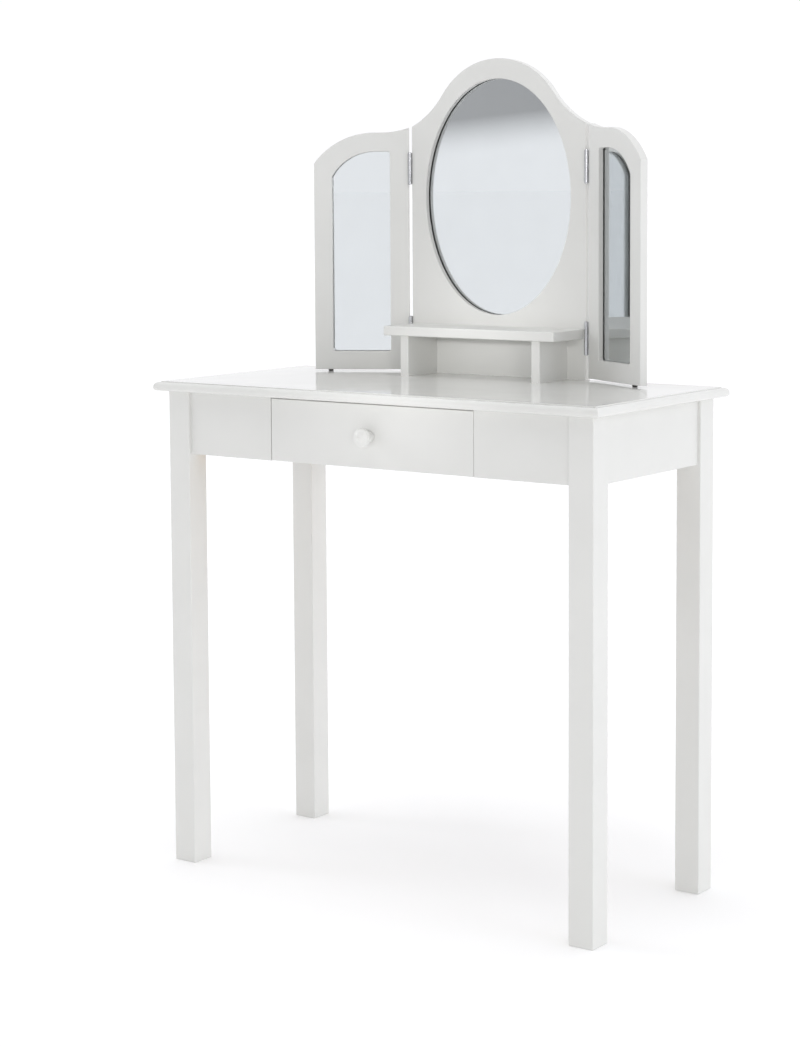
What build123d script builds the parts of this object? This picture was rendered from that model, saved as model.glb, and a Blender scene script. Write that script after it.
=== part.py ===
from build123d import *
from math import asin, cos, degrees, radians, sin, sqrt
import os

# A dressing table with one drawer and a three-fold mirror standing on its top.
# X runs along the front, +Y towards the back and +Z up. The origin is on the floor,
# under the middle of the leg frame. All sizes are in millimetres.

# Table
top_length = 796
top_depth = 378
top_thickness = 15
top_overhang = 17
top_step = 1.5
top_step_inset = 9
top_step_round = 0.6
top_upper_round = 7
top_lower_round = 5
leg_height = 740
leg_side = 40
leg_arris = 1.5
foot_chamfer = 1
apron_height = 97
apron_board = 15
apron_recess = 5
board_arris = 1.2
rail_thickness = 12
rail_width = 30

# Drawer
drawer_front_length = 364
drawer_front_thickness = 14.5
drawer_gap = 1
drawer_top_gap = 3
drawer_box_height = 60
drawer_box_depth = 272.5
drawer_board = 12
drawer_bottom_thickness = 3
drawer_bottom_rise = 6
drawer_groove = 4
runner_ledge = 16
runner_guide = 14
drawer_clearance = 0.5
drawer_inset = 2
drawer_arris = 1
drawer_bottom_play = 0.2
runner_drop = 10
stop_depth = 10
stop_length = 60
stop_hang = 25
stop_catch = 8
stop_round = 3
knob_height = 690
knob_projection = 30
knob_head_radius = 14
knob_neck_radius = 6
knob_base_radius = 8.5
knob_lip_radius = 12.3
knob_dome = 8
knob_flat_radius = 1.5
knob_base_length = 2
knob_neck_length = 7
knob_head_length = 13
knob_head_start_radius = 12
knob_widest_length = 17.5

# Mirror
mirror_front_y = 171
mirror_board = 12
mirror_width = 324
mirror_height = 494
crown_radius = 126
crown_half_angle = 55
cove_radius = 144
oval_radius_x = 134.5
oval_radius_z = 183.5
oval_height = 279
glass_depth = 8
glass_thickness = 4
glass_lap = 6.5
rebate_lap = 7
back_thickness = 3
back_lap = 14
mirror_arris = 1.2

# Wings, as distances out from the hinge pin and up from the table top
wing_angle = 29.5
wing_edge = 2
wing_outer = 155.5
wing_lift = 3
wing_top = 383
wing_heel = 390
wing_flat_start = 45
wing_flat_end = 58
wing_shoulder = 334
wing_shoulder_round = 1.5
opening_inner = 32.5
opening_outer = 126
opening_bottom = 32.7
opening_top = 352.5
opening_arch_end = 313
opening_round = 4
glide_reach = 131
glide_radius = 4
glide_stem_radius = 2
glide_stem_length = 8
glide_clearance = 0.3

# Hinges
pin_x = mirror_width / 2 + 2
pin_forward = 2.5
pin_radius = 1.3
hinge_length = 50
hinge_rises = (39, 300)
knuckle_radius = 3
knuckle_count = 5
knuckle_play = 0.5
leaf_thickness = 1.2
leaf_start = 3.3
leaf_end = 12.5
leaf_screw_rises = (10, 40)
leaf_screw_depth = 8
pin_head_radius = 2.2
pin_head_height = 0.8

# Shelf
shelf_length = 315
shelf_depth = 86
shelf_thickness = 15
shelf_arris = 1.8
shelf_rise = 63
bracket_board = 15
bracket_depth = 80
bracket_x = 121.5

# Hardware
dowel_radius = 4
dowel_length = 30
dowel_inset = 25
drawer_dowel_radius = 3
drawer_dowel_length = 18
drawer_dowel_low = 15
drawer_dowel_high = 12
corner_plate = 2
corner_plate_height = 60
corner_flange = 22
corner_cut = 49
flange_screw_spread = 18
hanger_radius = 3
hanger_play = 0.3
hanger_grip = 30
hanger_tail = 17
nut_across = 10
nut_height = 5
clip_leg = 18
clip_width = 20
clip_plate = 2
clip_hole = 11
clip_side_y = 40
clip_back_x = 240
rail_screw_x = 250
panel_screw_x = (205, 320)
mirror_screw_x = 70
shelf_screw_x = 75
oval_screw_angles = range(22, 382, 45)
oval_screw_inset = 4
knob_screw_radius = 2
knob_screw_length = 27
knob_screw_play = 0.25
knob_screw_head_radius = 4
knob_screw_head_height = 2.5
knob_screw_head_round = 1.2
fit = 0.05

# Countersunk screws, as length, shank radius and head radius
bracket_screw = (14, 1.6, 3)
clip_screw = (12, 1.6, 3)
rail_top_screw = (24, 2, 4)
panel_screw = (40, 1.8, 3.5)
mirror_screw = (50, 2, 4)
shelf_screw = (40, 1.8, 3.5)
back_screw = (11, 1.1, 2.1)
leaf_screw = (10, 1, 2)

# Worked out from the sizes above
frame_half_x = top_length / 2 - top_overhang
frame_half_y = top_depth / 2 - top_overhang
bay_half_x = frame_half_x - leg_side
bay_half_y = frame_half_y - leg_side
apron_bottom = leg_height - apron_height
front_y = -(frame_half_y - apron_recess)
inner_y = frame_half_y - apron_recess - apron_board
side_x = frame_half_x - apron_recess
inner_x = side_x - apron_board
table_top = leg_height + top_thickness
drawer_half = drawer_front_length / 2
ledge_top = apron_bottom + rail_thickness
box_bottom = ledge_top + drawer_clearance
box_top = box_bottom + drawer_box_height
box_half = drawer_half - drawer_inset
box_front_y = front_y + drawer_front_thickness
box_back_y = box_front_y + drawer_box_depth
guide_x = box_half + drawer_gap
mirror_back_y = mirror_front_y + mirror_board
pin_y = mirror_front_y - pin_forward
shelf_top = table_top + shelf_rise + shelf_thickness
down = (Align.CENTER, Align.CENTER, Align.MAX)
up = (Align.CENTER, Align.CENTER, Align.MIN)
sides = (("left", -1), ("right", 1))

os.makedirs("parts", exist_ok=True)


def block(low, high, mode=Mode.ADD):
    """A box between two opposite corners, in the part being built."""
    size = [b - a for a, b in zip(low, high)]
    middle = [(a + b) / 2 for a, b in zip(low, high)]
    with Locations(tuple(middle)):
        Box(*size, mode=mode)


def countersunk(length, shank, head, mode=Mode.ADD):
    """A screw, or its hole, at the current places: head in the plane, point along -Z."""
    Cylinder(shank, length, align=down, mode=mode)
    Cone(shank, head, head - shank, align=down, mode=mode)


def finish(builder, name):
    """Labels a finished piece and writes it."""
    builder.part.label = name
    export_step(builder.part, f"parts/{name}.step")


# Places of the fasteners. Each is a plane whose normal points out of the hole.
dowel_heights = (apron_bottom + dowel_inset, leg_height - dowel_inset)
end_dowels = [
    Plane(origin=(sx * bay_half_x, sy * (frame_half_y - apron_recess - apron_board / 2), z), z_dir=(sx, 0, 0))
    for sx in (-1, 1)
    for sy in (-1, 1)
    for z in dowel_heights
]
side_dowels = [
    Plane(origin=(sx * (side_x - apron_board / 2), sy * bay_half_y, z), z_dir=(0, sy, 0))
    for sx in (-1, 1)
    for sy in (-1, 1)
    for z in dowel_heights
]
hanger_height = leg_height - apron_height / 2
hanger_places = [
    Plane(origin=(sx * bay_half_x, sy * bay_half_y, hanger_height), z_dir=(sx, sy, 0))
    for sx in (-1, 1)
    for sy in (-1, 1)
]
flange_heights = (hanger_height - flange_screw_spread, hanger_height + flange_screw_spread)
flange_end_x = inner_x - corner_cut
flange_end_y = inner_y - corner_cut
flange_middle_x = flange_end_x - corner_flange / 2
flange_middle_y = flange_end_y - corner_flange / 2
bracket_screw_places = [
    Plane(origin=(sx * flange_middle_x, sy * (inner_y - corner_plate), z), z_dir=(0, -sy, 0))
    for sx in (-1, 1)
    for sy in (-1, 1)
    for z in flange_heights
] + [
    Plane(origin=(sx * (inner_x - corner_plate), sy * flange_middle_y, z), z_dir=(-sx, 0, 0))
    for sx in (-1, 1)
    for sy in (-1, 1)
    for z in flange_heights
]
clip_places = [(sx * inner_x, y, sx, 0) for sx in (-1, 1) for y in (-clip_side_y, clip_side_y)]
clip_places += [(x, inner_y, 0, 1) for x in (-clip_back_x, clip_back_x)]
clip_wall_screws = [
    Plane(
        origin=(x - nx * clip_plate, y - ny * clip_plate, leg_height - clip_hole),
        z_dir=(-nx, -ny, 0),
    )
    for x, y, nx, ny in clip_places
]
clip_top_screws = [
    Plane(
        origin=(x - nx * clip_hole, y - ny * clip_hole, leg_height - clip_plate),
        z_dir=(0, 0, -1),
    )
    for x, y, nx, ny in clip_places
]
rail_top_screws = [
    Plane(origin=(x, -inner_y + rail_width / 2, leg_height - rail_thickness), z_dir=(0, 0, -1))
    for x in (-rail_screw_x, 0, rail_screw_x)
]
panel_screws = [
    Plane(origin=(sx * x, -inner_y + rail_width, z), z_dir=(0, 1, 0))
    for sx in (-1, 1)
    for x in panel_screw_x
    for z in (apron_bottom + rail_thickness / 2, leg_height - rail_thickness / 2)
]
mirror_screws = [
    Plane(origin=(x, y, leg_height), z_dir=(0, 0, -1))
    for x, y in (
        (-mirror_screw_x, mirror_front_y + mirror_board / 2),
        (mirror_screw_x, mirror_front_y + mirror_board / 2),
        (-bracket_x, mirror_front_y - bracket_depth / 2),
        (bracket_x, mirror_front_y - bracket_depth / 2),
    )
]
shelf_screws = [
    Plane(origin=(x, mirror_back_y, z), z_dir=(0, 1, 0))
    for x, z in (
        (-shelf_screw_x, shelf_top - shelf_thickness / 2),
        (shelf_screw_x, shelf_top - shelf_thickness / 2),
        (-bracket_x, table_top + shelf_rise / 2),
        (bracket_x, table_top + shelf_rise / 2),
    )
]
oval_middle = (0, table_top + oval_height)
oval_screw_x = oval_radius_x + back_lap - oval_screw_inset
oval_screw_z = oval_radius_z + back_lap - oval_screw_inset
oval_screws = [
    Plane(
        origin=(
            oval_screw_x * cos(radians(angle)),
            mirror_back_y + back_thickness,
            oval_middle[1] + oval_screw_z * sin(radians(angle)),
        ),
        z_dir=(0, 1, 0),
    )
    for angle in oval_screw_angles
]


def wing_plane(sx):
    """The plane of a wing's hinge pin: x across the table, y up, z out of the mirror's face."""
    turn = radians(wing_angle)
    return Plane(
        origin=(sx * pin_x, pin_y, table_top),
        x_dir=(cos(turn), -sx * sin(turn), 0),
        z_dir=(-sx * sin(turn), -cos(turn), 0),
    )


def hinge_foot(sx, turned, rise):
    """The plane across a hinge pin at a hinge's lower end: x across, y backwards, z up."""
    across = wing_plane(sx).x_dir if turned else (1, 0, 0)
    return Plane(origin=(sx * pin_x, pin_y, table_top + rise), x_dir=across, z_dir=(0, 0, 1))


def hinge_screws(sx, turned):
    """Places of the screws of a fixed leaf, or of a leaf turned with its wing."""
    toward = sx if turned else -sx
    depth = toward * (wing_edge - leaf_thickness)
    feet = [hinge_foot(sx, turned, rise) for rise in hinge_rises]
    return [
        Plane(origin=foot.from_local_coords((depth, leaf_screw_depth, z)), z_dir=foot.x_dir * -toward)
        for foot in feet
        for z in leaf_screw_rises
    ]


# Table top: a board with a moulded edge all round, a small step above a round nose.
with BuildPart() as tabletop:
    with BuildSketch(Plane.XY.offset(leg_height)):
        Rectangle(top_length, top_depth)
    extrude(amount=top_thickness - top_step)
    nose = tabletop.edges().filter_by(Axis.Z, reverse=True)
    fillet(nose.group_by(Axis.Z)[-1], top_upper_round)
    fillet(tabletop.edges().group_by(Axis.Z)[0], top_lower_round)
    with BuildSketch(Plane.XY.offset(table_top - top_step)):
        Rectangle(top_length - 2 * top_step_inset, top_depth - 2 * top_step_inset)
    extrude(amount=top_step)
    fillet(tabletop.edges().group_by(Axis.Z)[-1], top_step_round)
    with Locations(*mirror_screws):
        countersunk(mirror_screw[0], mirror_screw[1] + fit, mirror_screw[2] + fit, Mode.SUBTRACT)
    for screws, (length, shank, head), lost in (
        (rail_top_screws, rail_top_screw, rail_thickness),
        (clip_top_screws, clip_screw, clip_plate),
    ):
        tips = [Plane(origin=place.origin + Vector(0, 0, lost), z_dir=(0, 0, -1)) for place in screws]
        with Locations(*tips):
            Cylinder(shank + fit, length - lost, align=down, mode=Mode.SUBTRACT)
finish(tabletop, "tabletop")

# Legs: square posts, their long arrises eased, drilled for dowels and a hanger bolt.
for side, sx in sides:
    for end, sy in (("front", -1), ("back", 1)):
        with BuildPart() as leg:
            with BuildSketch(Plane.XY):
                with Locations((sx * (frame_half_x - leg_side / 2), sy * (frame_half_y - leg_side / 2))):
                    Rectangle(leg_side, leg_side)
            extrude(amount=leg_height)
            fillet(leg.edges().filter_by(Axis.Z), leg_arris)
            chamfer(leg.edges().group_by(Axis.Z)[0], foot_chamfer)
            with Locations(*end_dowels, *side_dowels):
                Cylinder(dowel_radius + fit, dowel_length, mode=Mode.SUBTRACT)
            with Locations(*hanger_places):
                Cylinder(hanger_radius + fit, 2 * hanger_grip, mode=Mode.SUBTRACT)
        finish(leg, f"leg_{end}_{side}")

# Fixed front panels, on either side of the drawer.
for side, sx in sides:
    with BuildPart() as panel:
        with BuildSketch(Plane.XY.offset(apron_bottom)):
            with Locations((sx * (bay_half_x + drawer_half + drawer_gap) / 2, -(inner_y + apron_board / 2))):
                Rectangle(bay_half_x - drawer_half - drawer_gap, apron_board)
        extrude(amount=apron_height)
        fillet(panel.edges().filter_by(Axis.X).group_by(Axis.Z)[0].sort_by(Axis.Y)[0], board_arris)
        with Locations(*end_dowels):
            Cylinder(dowel_radius + fit, dowel_length, mode=Mode.SUBTRACT)
        with Locations(*panel_screws):
            Cylinder(panel_screw[1] + fit, panel_screw[0], align=down, mode=Mode.SUBTRACT)
        with Locations(*bracket_screw_places):
            Cylinder(bracket_screw[1] + fit, bracket_screw[0], align=down, mode=Mode.SUBTRACT)
    finish(panel, f"front_panel_{side}")

# Side and back aprons, set back a little from the faces of the legs.
for side, sx in sides:
    with BuildPart() as apron:
        with BuildSketch(Plane.XY.offset(apron_bottom)):
            with Locations((sx * (side_x - apron_board / 2), 0)):
                Rectangle(apron_board, 2 * bay_half_y)
        extrude(amount=apron_height)
        outer = apron.edges().filter_by(Axis.Y).group_by(Axis.Z)[0].sort_by(Axis.X)
        fillet(outer[-1] if sx > 0 else outer[0], board_arris)
        with Locations(*side_dowels):
            Cylinder(dowel_radius + fit, dowel_length, mode=Mode.SUBTRACT)
        with Locations(*bracket_screw_places):
            Cylinder(bracket_screw[1] + fit, bracket_screw[0], align=down, mode=Mode.SUBTRACT)
        with Locations(*clip_wall_screws):
            Cylinder(clip_screw[1] + fit, clip_screw[0], align=down, mode=Mode.SUBTRACT)
    finish(apron, f"side_apron_{side}")

with BuildPart() as back_apron:
    with BuildSketch(Plane.XY.offset(apron_bottom)):
        with Locations((0, inner_y + apron_board / 2)):
            Rectangle(2 * bay_half_x, apron_board)
    extrude(amount=apron_height)
    fillet(back_apron.edges().filter_by(Axis.X).group_by(Axis.Z)[0].sort_by(Axis.Y)[-1], board_arris)
    with Locations(*end_dowels):
        Cylinder(dowel_radius + fit, dowel_length, mode=Mode.SUBTRACT)
    with Locations(*bracket_screw_places):
        Cylinder(bracket_screw[1] + fit, bracket_screw[0], align=down, mode=Mode.SUBTRACT)
    with Locations(*clip_wall_screws):
        Cylinder(clip_screw[1] + fit, clip_screw[0], align=down, mode=Mode.SUBTRACT)
finish(back_apron, "back_apron")

# Two flat rails behind the front, above and below the drawer, tie the front legs.
for name, bottom in (("front_rail_lower", apron_bottom), ("front_rail_upper", leg_height - rail_thickness)):
    with BuildPart() as rail:
        with BuildSketch(Plane.XY.offset(bottom)):
            with Locations((0, -inner_y + rail_width / 2)):
                Rectangle(2 * bay_half_x, rail_width)
        extrude(amount=rail_thickness)
        with Locations(*rail_top_screws):
            countersunk(rail_top_screw[0], rail_top_screw[1] + fit, rail_top_screw[2] + fit, Mode.SUBTRACT)
        with Locations(*panel_screws):
            countersunk(panel_screw[0], panel_screw[1] + fit, panel_screw[2] + fit, Mode.SUBTRACT)
    finish(rail, name)

# Drawer runners: an L-shaped hardwood strip each side, a ledge below and a guide beside.
for side, sx in sides:
    with BuildPart() as runner:
        with BuildSketch(Plane.XZ.offset(-inner_y)):
            with BuildLine():
                Polyline(
                    (sx * (guide_x - runner_ledge), apron_bottom),
                    (sx * (guide_x + runner_guide), apron_bottom),
                    (sx * (guide_x + runner_guide), box_top - runner_drop),
                    (sx * guide_x, box_top - runner_drop),
                    (sx * guide_x, ledge_top),
                    (sx * (guide_x - runner_ledge), ledge_top),
                    close=True,
                )
            make_face()
        extrude(amount=2 * inner_y - rail_width)
    finish(runner, f"drawer_runner_{side}")

# Beech dowels between the legs and the aprons.
with BuildPart() as dowels:
    with Locations(*end_dowels, *side_dowels):
        Cylinder(dowel_radius, dowel_length)
finish(dowels, "dowels")

# Pressed steel plates across the four inner corners, each held by a bolt into its leg.
with BuildPart() as corner_brackets:
    with BuildSketch(Plane.XY.offset(hanger_height - corner_plate_height / 2)):
        with BuildLine():
            Polyline(
                (flange_end_x - corner_flange, inner_y),
                (flange_end_x, inner_y),
                (inner_x, flange_end_y),
                (inner_x, flange_end_y - corner_flange),
            )
            offset(amount=corner_plate, side=Side.RIGHT, closed=True)
        make_face()
    extrude(amount=corner_plate_height)
    mirror(about=Plane.XZ)
    mirror(about=Plane.YZ)
    with Locations(*hanger_places):
        Cylinder(hanger_radius + hanger_play, 2 * hanger_grip, mode=Mode.SUBTRACT)
    with Locations(*bracket_screw_places):
        countersunk(bracket_screw[0], bracket_screw[1] + fit, bracket_screw[2] + fit, Mode.SUBTRACT)
finish(corner_brackets, "corner_brackets")

# Hanger bolts: a wood thread in the leg, and a metric tail through the plate for a nut.
plate_gap = (bay_half_x + bay_half_y - (inner_x + flange_end_y)) / sqrt(2)
with BuildPart() as hanger_bolts:
    with Locations(*hanger_places):
        Cylinder(hanger_radius, hanger_grip, align=up)
        Cylinder(hanger_radius, hanger_tail, align=down)
finish(hanger_bolts, "hanger_bolts")

with BuildPart() as hanger_nuts:
    nut_places = [place.offset(-plate_gap - corner_plate) for place in hanger_places]
    for place in nut_places:
        with BuildSketch(place):
            RegularPolygon(nut_across / 2, 6, major_radius=False)
            Circle(hanger_radius + fit, mode=Mode.SUBTRACT)
        extrude(amount=-nut_height)
finish(hanger_nuts, "hanger_nuts")

with BuildPart() as bracket_screws:
    with Locations(*bracket_screw_places):
        countersunk(*bracket_screw)
finish(bracket_screws, "bracket_screws")

# Small steel angles hold the top down to the side and back aprons.
with BuildPart() as top_clips:
    for x, y, nx, ny in clip_places:
        face = Plane(origin=(x, y, leg_height), x_dir=(-nx, -ny, 0), z_dir=(-ny, nx, 0))
        with BuildSketch(face.offset(-clip_width / 2)):
            with BuildLine():
                Polyline(
                    (0, 0),
                    (0, -clip_leg),
                    (clip_plate, -clip_leg),
                    (clip_plate, -clip_plate),
                    (clip_leg, -clip_plate),
                    (clip_leg, 0),
                    close=True,
                )
            make_face()
        extrude(amount=clip_width)
    with Locations(*clip_wall_screws, *clip_top_screws):
        countersunk(clip_screw[0], clip_screw[1] + fit, clip_screw[2] + fit, Mode.SUBTRACT)
finish(top_clips, "top_clips")

with BuildPart() as clip_screws:
    with Locations(*clip_wall_screws, *clip_top_screws):
        countersunk(*clip_screw)
finish(clip_screws, "clip_screws")

# Wood screws up through the upper rail into the top, and through both rails into the front.
with BuildPart() as rail_screws:
    with Locations(*rail_top_screws):
        countersunk(*rail_top_screw)
    with Locations(*panel_screws):
        countersunk(*panel_screw)
finish(rail_screws, "rail_screws")

# Drawer front: a plain slab between the fixed panels, as deep as the apron.
side_middle = box_half - drawer_board / 2
dowel_rises = (box_bottom + drawer_dowel_low, box_top - drawer_dowel_high)
drawer_dowel_places = [
    Plane(origin=(sx * side_middle, box_front_y, z), z_dir=(0, 1, 0)) for sx in (-1, 1) for z in dowel_rises
]
knob_screw_place = Plane(origin=(0, box_front_y, knob_height), z_dir=(0, 1, 0))
bottom_low = box_bottom + drawer_bottom_rise
bottom_high = bottom_low + drawer_bottom_thickness
with BuildPart() as drawer_front:
    block(
        (-drawer_half, front_y, apron_bottom + drawer_clearance),
        (drawer_half, box_front_y, leg_height - drawer_top_gap),
    )
    fillet(drawer_front.faces().sort_by(Axis.Y)[0].edges(), drawer_arris)
    block(
        (-box_half + drawer_board - drawer_groove, box_front_y - drawer_groove, bottom_low - fit),
        (box_half - drawer_board + drawer_groove, box_front_y, bottom_high + fit),
        Mode.SUBTRACT,
    )
    with Locations(*drawer_dowel_places):
        Cylinder(drawer_dowel_radius + fit, drawer_dowel_length, mode=Mode.SUBTRACT)
    with Locations(knob_screw_place):
        Cylinder(knob_screw_radius + knob_screw_play, 2 * knob_screw_length, mode=Mode.SUBTRACT)
finish(drawer_front, "drawer_front")

# Drawer sides, grooved for the bottom.
for side, sx in sides:
    with BuildPart() as drawer_side:
        with BuildSketch(Plane.XY.offset(box_bottom)):
            with Locations((sx * side_middle, box_front_y + drawer_box_depth / 2)):
                Rectangle(drawer_board, drawer_box_depth)
        extrude(amount=drawer_box_height)
        fillet(drawer_side.edges().filter_by(Axis.Y).group_by(Axis.Z)[-1], drawer_arris)
        block(
            (-box_half + drawer_board - drawer_groove, box_front_y - drawer_board, bottom_low - fit),
            (box_half - drawer_board + drawer_groove, box_back_y + drawer_board, bottom_high + fit),
            Mode.SUBTRACT,
        )
        with Locations(*drawer_dowel_places):
            Cylinder(drawer_dowel_radius + fit, drawer_dowel_length, mode=Mode.SUBTRACT)
    finish(drawer_side, f"drawer_side_{side}")

# Drawer back, standing on the bottom between the sides, with a hardwood stop block that
# catches the upper front rail when the drawer is fully out.
back_front_y = box_back_y - drawer_board
with BuildPart() as drawer_back:
    block(
        (-box_half + drawer_board, back_front_y, bottom_high + fit),
        (box_half - drawer_board, box_back_y, box_top),
    )
finish(drawer_back, "drawer_back")

with BuildPart() as drawer_stop:
    block(
        (-stop_length / 2, back_front_y - stop_depth, box_top - stop_hang),
        (stop_length / 2, back_front_y, leg_height - rail_thickness + stop_catch),
    )
    fillet(drawer_stop.edges().filter_by(Axis.Y).group_by(Axis.Z)[-1], stop_round)
finish(drawer_stop, "drawer_stop")

with BuildPart() as drawer_bottom:
    reach = box_half - drawer_board + drawer_groove - drawer_bottom_play
    block(
        (-reach, box_front_y - drawer_groove + drawer_bottom_play, bottom_low),
        (reach, box_back_y, bottom_high),
    )
finish(drawer_bottom, "drawer_bottom")

with BuildPart() as drawer_dowels:
    with Locations(*drawer_dowel_places):
        Cylinder(drawer_dowel_radius, drawer_dowel_length)
finish(drawer_dowels, "drawer_dowels")

# Knob: a turned wooden mushroom, bored from behind for a machine screw.
knob_face_y = front_y - knob_projection
dome_centre = (knob_lip_radius**2 + knob_dome**2 - knob_flat_radius**2) / (2 * knob_dome)
dome_radius = sqrt(dome_centre**2 + knob_flat_radius**2)
with BuildPart() as knob:
    with BuildSketch(Plane.YZ):
        with BuildLine():
            base = Polyline(
                (front_y - knob_base_length, knob_height + knob_base_radius),
                (front_y, knob_height + knob_base_radius),
                (front_y, knob_height),
                (knob_face_y, knob_height),
                (knob_face_y, knob_height + knob_flat_radius),
            )
            neck = ThreePointArc(
                base @ 0,
                (front_y - knob_neck_length, knob_height + knob_neck_radius),
                (front_y - knob_head_length, knob_height + knob_head_start_radius),
            )
            rim = ThreePointArc(
                neck @ 1,
                (front_y - knob_widest_length, knob_height + knob_head_radius),
                (knob_face_y + knob_dome, knob_height + knob_lip_radius),
            )
            RadiusArc(rim @ 1, base @ 1, dome_radius)
        make_face()
    revolve(axis=Axis((0, 0, knob_height), (0, 1, 0)))
    with Locations(knob_screw_place):
        Cylinder(knob_screw_radius + fit, knob_screw_length + 1, align=down, mode=Mode.SUBTRACT)
finish(knob, "knob")

with BuildPart() as knob_screw:
    with Locations(knob_screw_place):
        Cylinder(knob_screw_radius, knob_screw_length, align=down)
        Cylinder(knob_screw_head_radius, knob_screw_head_height, align=up)
    fillet(knob_screw.edges().sort_by(Axis.Y)[-1], knob_screw_head_round)
finish(knob_screw, "knob_screw")

# Centre mirror frame: one board with a crowned top, an oval opening and a rebate behind it.
crown_z = table_top + mirror_height - crown_radius
reach = crown_radius + cove_radius
cove_x = reach * sin(radians(crown_half_angle))
cove_z = crown_z + reach * cos(radians(crown_half_angle))
cove_end = degrees(asin((cove_x - mirror_width / 2) / cove_radius))
mirror_plane = Plane.XZ.offset(-mirror_front_y)
with BuildPart() as mirror_frame:
    with BuildSketch(mirror_plane):
        with BuildLine():
            foot = Line((0, table_top), (mirror_width / 2, table_top))
            crown = CenterArc((0, crown_z), crown_radius, 90 - crown_half_angle, crown_half_angle)
            cove = CenterArc(
                (cove_x, cove_z), cove_radius, 270 - crown_half_angle, crown_half_angle - cove_end
            )
            Line(foot @ 1, cove @ 1)
            Line(crown @ 1, foot @ 0)
        make_face()
        mirror(about=Plane.YZ)
        with Locations(oval_middle):
            Ellipse(oval_radius_x, oval_radius_z, mode=Mode.SUBTRACT)
    extrude(amount=-mirror_board)
    front_edges = mirror_frame.faces().sort_by(Axis.Y)[0].edges()
    fillet(front_edges.filter_by(lambda e: e.center().Z > table_top + 1), mirror_arris)
    with BuildSketch(mirror_plane.offset(-glass_depth)):
        with Locations(oval_middle):
            Ellipse(oval_radius_x + rebate_lap, oval_radius_z + rebate_lap)
    extrude(amount=-mirror_board, mode=Mode.SUBTRACT)
    for screws, (length, shank, head) in (
        (mirror_screws, mirror_screw),
        (shelf_screws, shelf_screw),
        (oval_screws, back_screw),
    ):
        with Locations(*screws):
            countersunk(length, shank + fit, head + fit, Mode.SUBTRACT)
    with Locations(*hinge_screws(-1, False), *hinge_screws(1, False)):
        Cylinder(leaf_screw[1] + fit, leaf_screw[0], align=down, mode=Mode.SUBTRACT)
finish(mirror_frame, "mirror_frame")

# Oval mirror glass, in the rebate.
with BuildPart() as mirror_glass:
    with BuildSketch(mirror_plane.offset(-glass_depth)):
        with Locations(oval_middle):
            Ellipse(oval_radius_x + glass_lap, oval_radius_z + glass_lap)
    extrude(amount=-glass_thickness)
finish(mirror_glass, "mirror_glass")

# Hardboard behind the glass, screwed to the frame.
with BuildPart() as mirror_back:
    with BuildSketch(mirror_plane.offset(-mirror_board)):
        with Locations(oval_middle):
            Ellipse(oval_radius_x + back_lap, oval_radius_z + back_lap)
    extrude(amount=-back_thickness)
    with Locations(*oval_screws):
        countersunk(back_screw[0], back_screw[1] + fit, back_screw[2] + fit, Mode.SUBTRACT)
finish(mirror_back, "mirror_back")

with BuildPart() as mirror_back_screws:
    with Locations(*oval_screws):
        countersunk(*back_screw)
finish(mirror_back_screws, "mirror_back_screws")

# Long screws from under the top into the frame's foot and the two shelf brackets.
with BuildPart() as mirror_foot_screws:
    with Locations(*mirror_screws):
        countersunk(*mirror_screw)
finish(mirror_foot_screws, "mirror_screws")

# Shelf across the foot of the mirror, on two upright bracket boards.
shelf_front_y = mirror_front_y - shelf_depth
with BuildPart() as shelf_board:
    block(
        (-shelf_length / 2, shelf_front_y, shelf_top - shelf_thickness),
        (shelf_length / 2, mirror_front_y, shelf_top),
    )
    back_edges = shelf_board.faces().sort_by(Axis.Y)[-1].edges()
    eased = [e for e in shelf_board.edges() if e not in back_edges]
    fillet(eased, shelf_arris)
    with Locations(*shelf_screws):
        Cylinder(shelf_screw[1] + fit, shelf_screw[0], align=down, mode=Mode.SUBTRACT)
finish(shelf_board, "shelf_board")

for side, sx in sides:
    with BuildPart() as bracket:
        with BuildSketch(Plane.XY.offset(table_top)):
            with Locations((sx * bracket_x, mirror_front_y - bracket_depth / 2)):
                Rectangle(bracket_board, bracket_depth)
        extrude(amount=shelf_rise)
        fillet(bracket.edges().filter_by(Axis.Z).group_by(Axis.Y)[0], board_arris)
        with Locations(*mirror_screws):
            Cylinder(mirror_screw[1] + fit, mirror_screw[0], align=down, mode=Mode.SUBTRACT)
        with Locations(*shelf_screws):
            Cylinder(shelf_screw[1] + fit, shelf_screw[0], align=down, mode=Mode.SUBTRACT)
    finish(bracket, f"shelf_bracket_{side}")

with BuildPart() as shelf_fixing_screws:
    with Locations(*shelf_screws):
        countersunk(*shelf_screw)
finish(shelf_fixing_screws, "shelf_screws")

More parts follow.
